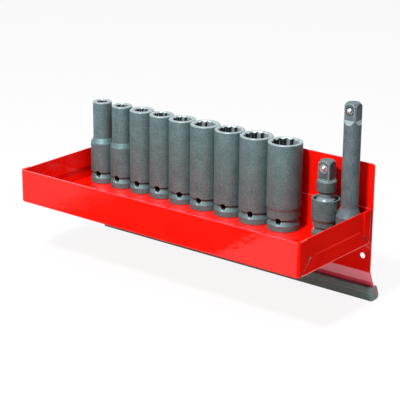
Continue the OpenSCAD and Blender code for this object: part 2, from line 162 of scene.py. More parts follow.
def modify(piece, kind, **settings):
    """Add a modifier with its settings and apply it."""
    choose(piece)
    step = piece.modifiers.new(kind.lower(), kind)
    for key, value in settings.items():
        setattr(step, key, value)
    bpy.ops.object.modifier_apply(modifier=step.name)
    return piece


def cut(piece, *cutters, operation="DIFFERENCE"):
    """Cut pieces away from a piece, or join or cross them with it, and throw the cutters away."""
    for cutter in cutters:
        modify(piece, "BOOLEAN", object=cutter, operation=operation, solver="EXACT")
        bpy.data.objects.remove(cutter)
    return piece


def bevel_edges(piece, width, angle):
    """Round every edge sharper than an angle, as a width in millimetres."""
    return modify(piece, "BEVEL", width=width * MM, segments=2, limit_method="ANGLE",
                  angle_limit=math.radians(angle), harden_normals=False)


def close_piece(piece, smooth):
    """Shade smooth across edges flatter than an angle, with large faces kept flat."""
    choose(piece)
    bpy.ops.object.shade_smooth_by_angle(angle=math.radians(smooth))
    return modify(piece, "WEIGHTED_NORMAL", keep_sharp=True, weight=50)


say("hand tools ready")

# %% [markdown]
# Holes are cut with a few plain tools: drills, blocks and cones, each added as one primitive.
# They are taken away from a piece with a Boolean modifier, which is then applied.

# %% Cutting tools
overrun = 1
along_x, along_y = (0, math.pi / 2, 0), (math.pi / 2, 0, 0)


def tool(name, **settings):
    """Add a primitive as a whole piece, without opening it."""
    piece = open_piece(name, **settings)
    bpy.ops.object.mode_set(mode="OBJECT")
    return piece


def drill(name, x, y, z, radius, length, rotation=(0, 0, 0), sides=48):
    """A cylinder that cuts a round hole, centred on a place in millimetres."""
    return tool(name, x=x, y=y, z=z, add=bpy.ops.mesh.primitive_cylinder_add, vertices=sides,
                radius=radius * MM, depth=length * MM, rotation=rotation)


def block(name, x, y, z, size, turn=0):
    """A box of a size in millimetres that cuts a recess or a slot."""
    return tool(name, x=x, y=y, z=z, add=bpy.ops.mesh.primitive_cube_add, size=1,
                scale=[v * MM for v in size], rotation=(0, 0, turn))


say("cutting tools ready")

# %% [markdown]
# An outline is a list of corners, some with a radius. The radii become arcs first, then the
# outline is drawn by extruding one point from corner to corner, and spun or pushed into a solid.

# %% Outlines
arc_steps, spin_steps = 4, 96


def arc(before, corner, after, radius):
    """Points of the arc that rounds a corner of an outline."""
    u = Vector(before) - Vector(corner)
    v = Vector(after) - Vector(corner)
    if radius == 0 or u.length < 1e-6 or v.length < 1e-6:
        return [tuple(corner)]
    u.normalize()
    v.normalize()
    half = u.angle(v) / 2
    if half > math.radians(89.5):
        return [tuple(corner)]
    centre = Vector(corner) + (u + v).normalized() * radius / math.sin(half)
    start = Vector(corner) + u * radius / math.tan(half) - centre
    sweep = (math.pi - 2 * half) * (1 if u.x * v.y - u.y * v.x < 0 else -1)
    points = []
    for k in range(arc_steps + 1):
        t = sweep * k / arc_steps
        points.append((centre.x + start.x * math.cos(t) - start.y * math.sin(t),
                       centre.y + start.x * math.sin(t) + start.y * math.cos(t)))
    return points


def rounded(corners):
    """Turn corners (a, b) or (a, b, radius) of an open or closed outline into plain points."""
    points = []
    for i, corner in enumerate(corners):
        radius = corner[2] if len(corner) > 2 else 0
        before, after = corners[i - 1][:2], corners[(i + 1) % len(corners)][:2]
        points += arc(before, corner[:2], after, radius)
    return points


def draw(name, points, place):
    """Draw an outline by extruding one point along it; place turns (a, b) into x, y, z."""
    first = place(*points[0])
    piece = open_piece(name, x=first[0], y=first[1], z=first[2], size=MM)
    bpy.ops.mesh.select_mode(type="VERT")
    bpy.ops.mesh.select_all(action="SELECT")
    bpy.ops.mesh.merge(type="CENTER")
    for here, there in zip(points, points[1:]):
        step = (Vector(place(*there)) - Vector(place(*here))) * MM
        bpy.ops.mesh.extrude_vertices_move(TRANSFORM_OT_translate={"value": step})
    return piece


def spin_round(name, corners, x, y, z=0):
    """Spin an outline of (radius, height) about an upright axis into a closed solid."""
    piece = draw(name, rounded(corners), lambda r, h: (x + r, y, z + h))
    bpy.ops.mesh.select_all(action="SELECT")
    bpy.ops.mesh.spin(steps=spin_steps, angle=math.tau, center=(x * MM, y * MM, 0),
                      axis=(0, 0, 1))
    bpy.ops.mesh.select_all(action="SELECT")
    bpy.ops.mesh.remove_doubles(threshold=2e-6)
    bpy.ops.mesh.normals_make_consistent(inside=False)
    bpy.ops.object.mode_set(mode="OBJECT")
    return piece


def push_along(name, corners, half, middle=0):
    """Push a closed outline of (y, z) along X, half to each side of a middle."""
    piece = draw(name, rounded(corners), lambda a, b: (middle - half, a, b))
    bpy.ops.mesh.select_all(action="SELECT")
    bpy.ops.mesh.edge_face_add()
    bpy.ops.mesh.extrude_region_move(TRANSFORM_OT_translate={"value": (2 * half * MM, 0, 0)})
    bpy.ops.mesh.select_all(action="SELECT")
    bpy.ops.mesh.normals_make_consistent(inside=False)
    bpy.ops.object.mode_set(mode="OBJECT")
    return piece


say("outline tools ready")

# %% [markdown]
# ## The sockets
#
# An impact socket is turned from a forged blank: a drive end with a ring and a neck at its foot,
# and a nut end above. On small sizes the nut end is the narrower one and on large sizes the
# wider one, so a cone or shoulder joins the two. The bore is broached with twelve points, and a
# conical lead-in at the mouth crosses them, which leaves the scalloped bright edge that a socket
# is known by. A round hole through the neck takes a retaining pin.
#
# The outside is one outline that is spun. The inside is cut with four tools, as in a shop: a
# drill for the bore, a star for the broach, a cone for the lead-in and a square for the drive.
# The pin hole shows which way each socket is turned, so that is read off the photograph.

# %% Socket sizes
nut_sizes = {"3_8": 9.525, "7_16": 11.1125, "1_2": 12.7, "9_16": 14.2875, "5_8": 15.875,
             "11_16": 17.4625, "3_4": 19.05, "13_16": 20.6375, "7_8": 22.225}
nose_ds = [18, 19.5, 23, 23, 25, 27.5, 27.5, 30, 31]
drive_ds = [23, 23, 23, 23, 25, 27.5, 27.5, 30, 29.5]
turned = [14, 9, 12, 16, 26, 11, 13, 17, 15]
socket_len, row_y = 79.4, -18.3
floor_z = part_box("socket_3_8")[0].z / MM
mouth_z = floor_z + socket_len


def axis_of(node):
    """Where a turned piece's axis stands, and how high it reaches, in millimetres."""
    low, high = (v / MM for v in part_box(node))
    return (low.x + high.x) / 2, (low.y + high.y) / 2, high.z


say("floor of the tray at", round(floor_z, 2), "mm")


# %% The drive end and its cuts
foot_chamfer, ring_h, body_foot_h = 0.5, 5.4, 11.2
neck_in, neck_foot_h, neck_top_h = 1.4, 8.8, 10.1
recess_w, recess_h, through = 12.8, 16, 40
pin_h, pin_r, sink_deep, sink_half, sink_in = 9.3, 2.65, 0.4, 2.0, 0.9


def drive_end(r):
    """Outline of the ring and neck at the foot of every drive end."""
    return [(0, 0), (r - foot_chamfer, 0, 0), (r, foot_chamfer, 0.4), (r, ring_h, 0.5),
            (r - neck_in, neck_foot_h, 0.3), (r - neck_in, neck_top_h, 0.2),
            (r, body_foot_h, 0.5)]


def drive_recess(x, y, turn):
    """The square recess and its retaining pin hole, turned in degrees."""
    turn = math.radians(turn)
    square = block("square_tool", x, y, floor_z + (recess_h - overrun) / 2,
                   (recess_w, recess_w, recess_h + overrun), turn)
    pin_drill = drill("pin_drill", x, y, floor_z + pin_h, pin_r, through,
                      (math.pi / 2, 0, turn), sides=32)
    return square, pin_drill


def countersink(x, y, turn, face):
    """A cone that flares the pin hole's mouth, whose face is this far out from the axis."""
    turn = math.radians(turn)
    reach = face + sink_half - sink_deep
    return tool("countersink", x=x + math.sin(turn) * reach, y=y - math.cos(turn) * reach,
                z=floor_z + pin_h, add=bpy.ops.mesh.primitive_cone_add, vertices=32,
                radius1=(pin_r + 2 * sink_half) * MM, radius2=pin_r * MM,
                depth=2 * sink_half * MM, rotation=(-math.pi / 2, 0, turn))


say("drive end", body_foot_h, "mm high")


# %% The twelve-point broach
broach_run, lead_in, bore_foot_h, bore_run = 22, 0.3, 19, 82


def point_reach(af):
    """How far a hexagon's corners, and so the broach's points, reach from the axis."""
    return af / 2 / math.cos(math.radians(30))


def broach(x, y, af, turn):
    """A star with twelve points: two hexagons of one size, turned half a point apart."""
    point_r, notch_r = point_reach(af), af / 2 / math.cos(math.radians(15))
    low, high = mouth_z - broach_run, mouth_z + overrun
    star = open_piece("star", x=x, y=y, z=(low + high) / 2,
                      add=bpy.ops.mesh.primitive_cylinder_add, vertices=24,
                      radius=point_r * MM, depth=(high - low) * MM,
                      rotation=(0, 0, math.radians(turn)))

    def in_notch(middle, _):
        angle = math.degrees(math.atan2(middle.y - y, middle.x - x)) - turn
        return round(angle / 15) % 2 == 0

    pick("verts", in_notch)
    bpy.ops.transform.resize(value=(notch_r / point_r, notch_r / point_r, 1),
                             center_override=(x * MM, y * MM, 0))
    bpy.ops.object.mode_set(mode="OBJECT")
    return star


def lead_in_tool(x, y, af):
    """A cone as deep as it is wide, which crosses the points at the mouth."""
    r = point_reach(af) + lead_in + overrun
    return tool("lead_in", x=x, y=y, z=mouth_z + overrun - r / 2, vertices=96,
                add=bpy.ops.mesh.primitive_cone_add, radius1=0, radius2=r * MM, depth=r * MM)


say("broach", broach_run, "mm deep")

# %% [markdown]
# Each socket is one turn of the same loop. Its shoulder is high where the nut end is narrower
# and low where it is wider.


# %% Nine deep sockets
waist_hs, swell_hs = (39.5, 44.3), (18.5, 21.5)


def deep_socket(i, size, af):
    name = "socket_" + size
    x, y = axis_of(name)[0], row_y
    drive_r, nose_r = drive_ds[i] / 2, nose_ds[i] / 2
    low_h, high_h = waist_hs if drive_r > nose_r else swell_hs
    shoulder = [(drive_r, low_h, 0.8), (nose_r, high_h, 0.8)] if drive_r != nose_r else []
    outline = drive_end(drive_r) + shoulder + [(nose_r, socket_len, 0.9), (0, socket_len)]
    piece = spin_round(name + "_turned", outline, x, y, floor_z)
    bore = drill("bore", x, y, floor_z + bore_foot_h + bore_run / 2, af / 2, bore_run, sides=64)
    cut(piece, bore, broach(x, y, af, turned[i]), lead_in_tool(x, y, af),
        *drive_recess(x, y, turned[i]), countersink(x, y, turned[i], drive_r - sink_in))
    close_piece(piece, 28)
    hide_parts(name)
    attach(piece, name)
    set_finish(piece, "phosphate_steel")
    return piece


sockets = [deep_socket(i, size, af) for i, (size, af) in enumerate(nut_sizes.items())]
say(len(sockets), "sockets,", sum(len(s.data.polygons) for s in sockets), "faces")

# %% [markdown]
# ## The tray
#
# The tray is one sheet of 1.2 mm steel. The floor's edges are folded up into the walls, and the
# front and back walls end in tabs that wrap round the corners. Each end wall has a proud band at
# its foot whose ends are cut at 45 degrees, with a thin slit between them and the tabs, and its
# upper part steps in by one sheet.
#
# It could be built wall by wall, but a folded sheet looks right when it starts as one box with
# rounded edges: the box loses its lid, the end walls are bisected along the slits, the faces
# between the cuts are deleted, and Solidify gives the skin its thickness.

# %% Tray sizes
sheet, edge_round = 1.2, 0.25
tray_w, tray_d, wall_h, tray_z = 312.0, 110.4, 31.2, 13.0
tray_front, tray_back = -111.6, -1.2
band_h, band_inset, tab_w, slit_run = 14.7, 3.0, 12.0, 1.0 * math.sqrt(2)
upright_r, fold_r = 3.5, 2.0
end_x = tray_w / 2
say("tray", tray_w, "x", tray_d, "x", wall_h, "mm")


# %% Tray shell
def from_end(middle):
    """Distance in from the nearer long side of the tray, and height above its underside."""
    return min(middle.y - tray_front, tray_back - middle.y), middle.z - tray_z


def on_end(middle):
    return abs(middle.x) > end_x - upright_r - 0.1


def in_opening(middle, _):
    """Whether a face lies between the band, the tabs and the rim of an end wall."""
    inward, up = from_end(middle)
    above_band = up > inward - band_inset or up > band_h
    in_tab = inward < tab_w and up > inward - band_inset + slit_run
    return on_end(middle) and above_band and not in_tab


def fold_tray():
    tray = open_piece("tray_shell", z=tray_z + wall_h / 2, y=(tray_front + tray_back) / 2,
                      add=bpy.ops.mesh.primitive_cube_add, size=1,
                      scale=(tray_w * MM, tray_d * MM, wall_h * MM))
    pick("faces", lambda m, n: n.z > 0.5)
    bpy.ops.mesh.delete(type="ONLY_FACE")
    pick("edges", lambda m, way: abs(way.z) > 0.9)
    bpy.ops.mesh.bevel(offset=upright_r * MM, segments=6, affect="EDGES")
    pick("edges", lambda m, way: m.z < tray_z + 0.01)
    bpy.ops.mesh.bevel(offset=fold_r * MM, segments=5, affect="EDGES")
    cuts = []
    for edge, inward in ((tray_front, 1), (tray_back, -1)):
        cuts.append(((0, edge + inward * tab_w, 0), (0, 1, 0)))
        for lift in (-band_inset, slit_run - band_inset):
            cuts.append(((0, edge, tray_z + lift), (0, -inward, 1)))
    cuts.append(((0, 0, tray_z + band_h), (0, 0, 1)))
    for point, normal in cuts:
        pick("faces", lambda m, n: on_end(m))
        bpy.ops.mesh.bisect(plane_co=Vector(point) * MM, plane_no=normal)
    pick("faces", in_opening)
    bpy.ops.mesh.delete(type="FACE")
    bpy.ops.mesh.select_all(action="SELECT")
    bpy.ops.mesh.remove_doubles(threshold=1e-6)
    bpy.ops.mesh.normals_make_consistent(inside=False)
    modify(tray, "SOLIDIFY", thickness=sheet * MM, offset=-1, use_even_offset=True)
    bevel_edges(tray, edge_round, 50)
    return close_piece(tray, 35)


tray = fold_tray()
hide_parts("tray_pan")
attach(tray, "rack")
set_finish(tray, "red_enamel")
say("tray shell", len(tray.data.polygons), "faces")

# %% [markdown]
# The stepped-in part of an end wall is a plate behind the tabs. Its foot follows the mitres, so
# that only the thin slits stay open.


# %% End panels
def end_panel(side):
    foot_y, foot_h = tab_w + 1.0, band_h - sheet
    front = [(upright_r, wall_h, 0.6), (upright_r, foot_h),
             (foot_y - (foot_h - foot_y + band_inset), foot_h), (foot_y, foot_y - band_inset),
             (foot_y + sheet, foot_y - band_inset), (band_h + band_inset, foot_h)]
    outline = [(tray_front + p[0], tray_z + p[1], *p[2:]) for p in front]
    outline += [(tray_back - p[0], tray_z + p[1], *p[2:]) for p in reversed(front)]
    panel = push_along("end_panel", outline, sheet / 2, side * (end_x - 1.5 * sheet))
    bevel_edges(panel, edge_round, 50)
    panel.name = panel.data.name = "end_panel_left" if side < 0 else "end_panel_right"
    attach(close_piece(panel, 35), "rack")
    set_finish(panel, "red_enamel")
    return panel


end_panels = [end_panel(side) for side in (-1, 1)]
say("end panels", [p.name for p in end_panels])

# %% [markdown]
# ## The back plate
#
# The plate is a second sheet, welded to the tray's back wall. Its top corners are rounded, two
# screw holes sit below the tray, and its lower edge is bent back into a lip. A plane is enough
# to start: the lip is extruded from its lower edge, the bend is bevelled, and Solidify gives it
# its thickness.

# %% Plate
plate_top, bend_z, lip_angle, lip_len = tray_z + 71.4, tray_z - 26.3, math.radians(23.5), 28.5
plate_corner, screw_r, screw_x = 2.5, 2.6, end_x - 8.4
bend_r = 1.5
lip_way = Vector((0, math.sin(lip_angle), -math.cos(lip_angle)))
run_in = (bend_r + sheet) * math.tan(lip_angle / 2)


def fold_plate():
    low = bend_z - run_in
    plate = open_piece("plate", y=-sheet, z=(plate_top + low) / 2, size=1, rotation=along_y)
    bpy.ops.mesh.select_all(action="SELECT")
    bpy.ops.transform.resize(value=(tray_w * MM, 1, (plate_top - low) * MM),
                             center_override=(0, 0, (plate_top + low) / 2 * MM))
    pick("verts", lambda m, n: m.z > 0)
    bpy.ops.mesh.bevel(offset=plate_corner * MM, segments=6, affect="VERTICES")
    pick("edges", lambda m, way: m.z < low + 0.1)
    bpy.ops.mesh.extrude_region_move(
        TRANSFORM_OT_translate={"value": lip_way * (lip_len + run_in) * MM})
    pick("edges", lambda m, way: abs(m.z - low) < 0.01 and abs(way.x) > 0.9)
    bpy.ops.mesh.bevel(offset=run_in * MM, segments=5, affect="EDGES")
    bpy.ops.mesh.select_all(action="SELECT")
    bpy.ops.mesh.normals_make_consistent(inside=False)
    modify(plate, "SOLIDIFY", thickness=sheet * MM, offset=-1, use_even_offset=True)
    cut(plate, *[drill("screw_drill", side * screw_x, 0, 0, screw_r, 10, along_y)
                 for side in (-1, 1)])
    bevel_edges(plate, edge_round, 50)
    return close_piece(plate, 35)


plate = fold_plate()
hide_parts("back_plate")
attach(plate, "rack")
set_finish(plate, "red_enamel")
say("plate's front face at", round(min(v.co.y for v in plate.data.vertices) / MM, 2), "mm")

# %% [markdown]
# ## The rubber trim
#
# The trim is an extruded strip of rubber, pushed onto the lip's free edge so that it does not
# mark the wall or the hand. A low ridge runs along its front. A strip like this could be built
# from boxes, but it is the same all along, so its cross-section is drawn once, with the slot
# for the lip in it, and pushed along.

# %% Trim sizes
trim_hold, trim_front, trim_back, mouth_slope = 11.8, 4.9, 5.4, 0.11
packed_hold, packed_front, packed_h = 10.2, 5.2, 12.6
front_lean, ridge_hs, ridge_out = math.tan(math.radians(9)), (5.4, 6.2, 7.0), 0.35
top_round, foot_round, slot_gap = 1.3, 3.6, 0.05
down = Vector((math.sin(lip_angle), -math.cos(lip_angle)))
lip_edge = Vector((bend_r - (bend_r + sheet / 2) * math.cos(lip_angle),
                   bend_z - (bend_r + sheet / 2) * math.sin(lip_angle))) + down * lip_len
trim_mouth = lip_edge - trim_hold * down
front_top = trim_mouth + Vector((-trim_front, trim_front * mouth_slope))
back_top = trim_mouth + Vector((trim_back, -trim_back * mouth_slope))
say("lip ends at", round(lip_edge.y, 2), "mm and the trim starts at", round(front_top.y, 2))


# %% Trim
def trim_outline():
    """The strip's section as (y, z): down the front, along the foot, up the back, slot."""
    foot = lip_edge.y + packed_hold * math.cos(lip_angle) + packed_front * mouth_slope - packed_h
    front = [(front_top.x, front_top.y, top_round)]
    for h, out in zip(ridge_hs, (0, ridge_out, 0)):
        front.append((front_top.x + h * front_lean - out, front_top.y - h))
    feet = [(front_top.x + (front_top.y - foot) * front_lean, foot, top_round),
            (back_top.x + (back_top.y - foot) * math.tan(lip_angle), foot, foot_round)]
    side = Vector((-down.y, down.x)) * (sheet / 2 + slot_gap)
    slot = [trim_mouth + side, lip_edge + side, lip_edge - side, trim_mouth - side]
    return front + feet + [(back_top.x, back_top.y, top_round)] + [tuple(p) for p in slot]


trim = push_along("trim", trim_outline(), end_x)
bevel_edges(trim, 0.3, 60)
close_piece(trim, 35)
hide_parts("edge_trim")
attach(trim, "rack")
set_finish(trim, "trim_rubber")
say("trim", len(trim.data.polygons), "faces")

# %% [markdown]
# ## The male squares
#
# The universal joint and the extension bar end in the same square: flat faces, rounded corners,
# a turned tip and a ball in a staked bore. The square starts as a cube whose foot is scaled
# out, so that its flats run out in slopes, and it is crossed with a turned rod that rounds its
# corners and chamfers its tip.

# %% Male square
square_half, tip_r, tip_run = 5.85, 5.6, 2.4


def male_square(x, y, foot, tip, foot_half, run, corner_r):
    """A square from foot to tip whose flats slope out to foot_half over a run at its foot."""
    width = 2 * square_half * MM
    square = open_piece("square", x=x, y=y, z=(foot + tip) / 2, size=1,
                        add=bpy.ops.mesh.primitive_cube_add,
                        scale=(width, width, (tip - foot) * MM))
    pick("faces", lambda m, n: n.z < -0.5)
    bpy.ops.transform.translate(value=(0, 0, run * MM))
    bpy.ops.mesh.extrude_region_move(TRANSFORM_OT_translate={"value": (0, 0, -run * MM)})
    share = foot_half / square_half
    bpy.ops.transform.resize(value=(share, share, 1), center_override=(x * MM, y * MM, 0))
    bpy.ops.object.mode_set(mode="OBJECT")
    rod = spin_round("rod", [(0, foot), (corner_r, foot), (corner_r, tip - tip_run, 0.3),
                             (tip_r, tip, 0.5), (0, tip)], x, y)
    return cut(square, rod, operation="INTERSECT")


say("male squares are", 2 * square_half, "mm across")


# %% Detent
ball_below_tip, lip_r, lip_depth, bore_r, bore_depth = 6.5, 2.34, 1.6, 2.55, 7.6
bore_middle, ring_r, ring_thick = 4.2, 3.4, 0.34


def detent_cuts(piece, x, y, tip):
    """The ball's bore with its staked lip, and the ring that the staking punch leaves."""
    face, z = y - square_half, tip - ball_below_tip
    mouth = drill("mouth", x, face, z, lip_r, lip_depth, along_y)
    bore = drill("ball_bore", x, face + bore_middle, z, bore_r, bore_depth, along_y)
    ring = tool("ring", x=x, y=face, z=z, rotation=along_y, major_segments=48,
                add=bpy.ops.mesh.primitive_torus_add, minor_segments=12,
                major_radius=ring_r * MM, minor_radius=ring_thick * MM)
    return cut(piece, mouth, bore, ring)


say("detent ball", ball_below_tip, "mm below the tip")

# %% [markdown]
# ## The extension bar
#
# The bar is turned in one piece: the same drive end as a socket, a hollow flare, a plain shaft
# and the square. All but the square is one spun outline. The flare is a curve, so its points
# are worked out one by one instead of being rounded from corners.

# %% Extension bar
ext_x, ext_y, ext_tip = axis_of("extension_bar")
small_drive_r, shaft_r, ext_drive_h, shaft_foot_h = 11.2, 7.55, 25.3, 34
flare_foot_h, flare_run, flare_steps, flare_power = 25.7, 8.2, 12, 1.4
ext_slope, ext_turned, rim_drop = 4.4, 20, 0.2
ext_foot = ext_tip - 19


def flare_points():
    """The hollow curve between the drive end and the shaft, steep at its foot."""
    spread = small_drive_r - rim_drop - shaft_r
    points = []
    for k in range(flare_steps):
        left = 1 - k / flare_steps
        points.append((shaft_r + spread * left ** flare_power,
                       flare_foot_h + flare_run * k / flare_steps))
    return points


def extension_bar():
    shaft_top = ext_foot + overrun - floor_z
    outline = drive_end(small_drive_r) + [(small_drive_r, ext_drive_h, 0.3)] + flare_points()
    outline += [(shaft_r, shaft_foot_h), (shaft_r, shaft_top), (0, shaft_top)]
    bar = spin_round("extension", outline, ext_x, ext_y, floor_z)
    cut(bar, *drive_recess(ext_x, ext_y, ext_turned))
    square = male_square(ext_x, ext_y, ext_foot, ext_tip, shaft_r, ext_slope, shaft_r)
    cut(bar, square, operation="UNION")
    detent_cuts(bar, ext_x, ext_y, ext_tip)
    return close_piece(bar, 28)


extension = extension_bar()
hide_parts("extension_bar")
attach(extension, "extension")
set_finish(extension, "phosphate_steel")
say("extension bar", len(extension.data.polygons), "faces")

# %% [markdown]
# ## The universal joint
#
# The driven body has a drive end, a barrel and a cup with a thin rim. The head's ball sits in
# the cup: it is slotted from below and straddles a small block, and two crossed pins through
# the block let it tilt both ways. Body and head are spun and cut like the sockets. Block, pins,
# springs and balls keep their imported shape, because little of them shows.

# %% Universal joint's body
uni_x, uni_y, _ = axis_of("universal_body")
uni_turned, pivot = -52, floor_z + 29
barrel_r, barrel_foot_h, barrel_h = 12.4, 17.8, 36
cup_r, cup_foot_h, cup_lip_h, rim_wall, main_pin_r = 10.6, 18.3, 34.4, 0.9, 2.85
uni_drive_h, uni_sink_in = 15.2, 1.1


def universal_body():
    outline = drive_end(small_drive_r)
    outline += [(small_drive_r, uni_drive_h, 0.6), (barrel_r, barrel_foot_h, 0.8),
                (barrel_r, barrel_h, 0.45), (barrel_r - rim_wall, barrel_h, 0.15),
                (cup_r, cup_lip_h, 0.3), (cup_r, cup_foot_h), (0, cup_foot_h)]
    body = spin_round("universal_cup", outline, uni_x, uni_y, floor_z)
    pin_bore = drill("pin_bore", uni_x, uni_y, pivot, main_pin_r, through, along_x)
    cut(body, *drive_recess(uni_x, uni_y, uni_turned), pin_bore,
        countersink(uni_x, uni_y, uni_turned, small_drive_r - uni_sink_in))
    return close_piece(body, 28)


cup = universal_body()
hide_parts("universal_body")
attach(cup, "universal")
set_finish(cup, "phosphate_steel")
say("universal joint's body", len(cup.data.polygons), "faces")


# %% Universal joint's head
uni_tip = axis_of("universal_head")[2]
ball_r, ball_low, neck_r, ball_steps = 10.2, 8.5, 6.6, 28
collar, collar_r, collar_run, crown_r = floor_z + 43, 8.8, 9.5, 7.8
fork_gap, fork_top, cross_pin_r, foot_half, head_slope = 9.2, 6.2, 1.45, 7.25, 2.3


def ball_points():
    """The ball's side, from its flat foot up to the neck."""
    start, end = -math.asin(ball_low / ball_r), math.acos(neck_r / ball_r)
    points = []
    for k in range(ball_steps + 1):
        t = start + (end - start) * k / ball_steps
        points.append((ball_r * math.cos(t), pivot + ball_r * math.sin(t)))
    return points


def universal_head():
    crown = collar + collar_run
    outline = [(0, pivot - ball_low)] + ball_points()
    outline += [(neck_r, collar - 2.4, 0.9), (collar_r, collar, 0.5),
                (collar_r, crown - overrun, 0.3), (crown_r, crown, 0.2), (0, crown)]
    head = spin_round("universal_fork", outline, uni_x, uni_y)
    slot = block("fork_slot", uni_x, uni_y, pivot + fork_top - through / 2,
                 (through, fork_gap, through))
    cut(head, slot, drill("pin_bore", uni_x, uni_y, pivot, cross_pin_r, through, along_y, 32))
    square = male_square(uni_x, uni_y, crown - overrun, uni_tip, foot_half, head_slope, crown_r)
    cut(head, square, operation="UNION")
    detent_cuts(head, uni_x, uni_y, uni_tip)
    return close_piece(head, 28)


head = universal_head()
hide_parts("universal_head")
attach(head, "universal_head")
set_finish(head, "phosphate_steel")
say("universal joint's head", len(head.data.polygons), "faces")

# %% [markdown]
# ## Materials
#
# Colours are written as sRGB hex values, and one function turns them into the linear values
# that a shader needs. Patterns read Object coordinates, which are metres, so a Mapping node
# turns them into millimetres and each scale is one over a real size. One small function adds
# any node, with its settings and its links.


# %% Colours and nodes
def colour(code):
    """A hex colour such as d8180f as linear red, green, blue and alpha."""
    parts = [int(code[i:i + 2], 16) / 255 for i in (0, 2, 4)]
    return [p / 12.92 if p <= 0.04045 else ((p + 0.055) / 1.055) ** 2.4 for p in parts] + [1]


def new_material(name):
    material = bpy.data.materials.new(name)
    material.use_nodes = True
    material.node_tree.nodes.clear()
    return material, material.node_tree


def add_node(tree, kind, settings=None, **inputs):
    """Add a node: settings are its own fields, inputs are values or sockets to link."""
    node = tree.nodes.new(kind)
    for key, value in (settings or {}).items():
        setattr(node, key, value)
    for key, value in inputs.items():
        number = key[1:]
        socket = node.inputs[int(number) if number.isdigit() else key.replace("_", " ")]
        if isinstance(value, bpy.types.NodeSocket):
            tree.links.new(value, socket)
        else:
            socket.default_value = value
    return node


def finish(tree, shader):
    add_node(tree, "ShaderNodeOutputMaterial", Surface=shader.outputs[0])


say("colour d8180f is", [round(v, 3) for v in colour("d8180f")])


# %% Patterns
def in_millimetres(tree):
    place = add_node(tree, "ShaderNodeTexCoord")
    return add_node(tree, "ShaderNodeMapping", Vector=place.outputs["Object"],
                    Scale=(1000, 1000, 1000)).outputs[0]


def pattern(tree, size, detail=2, rough=0.5):
    """Noise whose grains are a size in millimetres."""
    return add_node(tree, "ShaderNodeTexNoise", Vector=in_millimetres(tree), Scale=1 / size,
                    Detail=detail, Roughness=rough).outputs[0]


def stretch(tree, value, low, high, dark, light):
    """Map a value between low and high onto a ramp of two colours or grey levels."""
    ramp = add_node(tree, "ShaderNodeValToRGB", Fac=value)
    ramp.color_ramp.elements[0].position = low
    ramp.color_ramp.elements[1].position = high
    for element, shade in zip(ramp.color_ramp.elements, (dark, light)):
        element.color = colour(shade) if isinstance(shade, str) else (shade, shade, shade, 1)
    return ramp.outputs[0]


def relief(tree, height, strength, depth):
    """A bump that follows a pattern, with a depth in metres."""
    return add_node(tree, "ShaderNodeBump", Strength=strength, Distance=depth,
                    Height=height).outputs[0]


say("patterns ready")

# %% [markdown]
# ### Glossy red enamel
#
# The tray and plate are sprayed with solvent enamel and baked. It gives the eye a strong warm
# red under a clear gloss, with the faint ripple that painters call orange peel, a few
# millimetres from crest to crest. The rims get a paler pink enamel as a painted highlight, and
# the lip a glossier pink one as a painted reflection of the white floor.


# %% Red enamel
peel_size, peel_depth, cloud_size = 4.5, 0.0003, 24


def red_enamel(name, dark, light, gloss):
    material, tree = new_material(name)
    tint = stretch(tree, pattern(tree, cloud_size, 1), 0.35, 0.65, dark, light)
    peel = relief(tree, pattern(tree, peel_size, 1), 0.4, peel_depth)
    shader = add_node(tree, "ShaderNodeBsdfPrincipled", Base_Color=tint, Roughness=0.09,
                      Normal=peel)
    shader.inputs["Specular IOR Level"].default_value = gloss
    finish(tree, shader)
    return material


enamel = red_enamel("baked_red_enamel", "e00f06", "e81308", 0.42)
# painted highlight: a paler pink enamel that stands in for the light the rims catch
rim_painted_highlight = red_enamel("enamel_painted_highlight_on_rims", "ee4a5c", "f25468", 0.7)
# painted reflection: a pink enamel that stands in for the white floor seen in the lip's gloss
lip_painted_reflection = red_enamel("enamel_painted_reflection_on_lip", "e44c64", "ea5870", 1.0)
say("enamels", enamel.name, rim_painted_highlight.name, lip_painted_reflection.name)

# %% [markdown]
# ### Grey phosphate on forged steel
#
# Impact tools are dipped in manganese phosphate and oiled. The crystals leave a dark grey,
# slightly sparkling surface that is half way between metal and stone, so on the sockets the
# shader is partly metallic and quite rough: it keeps a soft sheen but shows no sharp
# reflections. The crystals are far finer than a pixel, so the grain is drawn at 1.2 millimetres
# to show at all. Edges rub bare in use. A Bevel node tells where they are: its rounded normal
# turns away from the flat one there, and the tint goes over to the worn one.


# %% Phosphate
grain_size, blotch_size, worn_width, crystal_depth = 1.2, 9, 0.0009, 0.0002


def phosphate(name, dark, light, gloss=0.35, low=0.42, high=0.56, metal=0.0, wear="b4c0c4"):
    """Phosphate between two tints, with its roughness from low to high and worn edges."""
    material, tree = new_material(name)
    grain = pattern(tree, grain_size, 4, 0.8)
    mixed = add_node(tree, "ShaderNodeMix", {"data_type": "FLOAT"}, Factor=0.2, _2=grain,
                     _3=pattern(tree, blotch_size))
    tint = stretch(tree, mixed.outputs[0], 0.36, 0.64, dark, light)
    edge = add_node(tree, "ShaderNodeBevel", {"samples": 6}, Radius=worn_width)
    flat = add_node(tree, "ShaderNodeNewGeometry")
    agree = add_node(tree, "ShaderNodeVectorMath", {"operation": "DOT_PRODUCT"},
                     _0=edge.outputs[0], _1=flat.outputs["Normal"])
    worn = stretch(tree, agree.outputs["Value"], 0.90, 0.985, 1.0, 0.0)
    coat = add_node(tree, "ShaderNodeMix", {"data_type": "RGBA"}, Factor=worn, _6=tint,
                    _7=colour(wear))
    shader = add_node(tree, "ShaderNodeBsdfPrincipled", Base_Color=coat.outputs[2],
                      Roughness=stretch(tree, grain, 0.3, 0.7, low, high), Metallic=metal,
                      Normal=relief(tree, grain, 0.3, crystal_depth))
    shader.inputs["Specular IOR Level"].default_value = gloss
    finish(tree, shader)
    return material


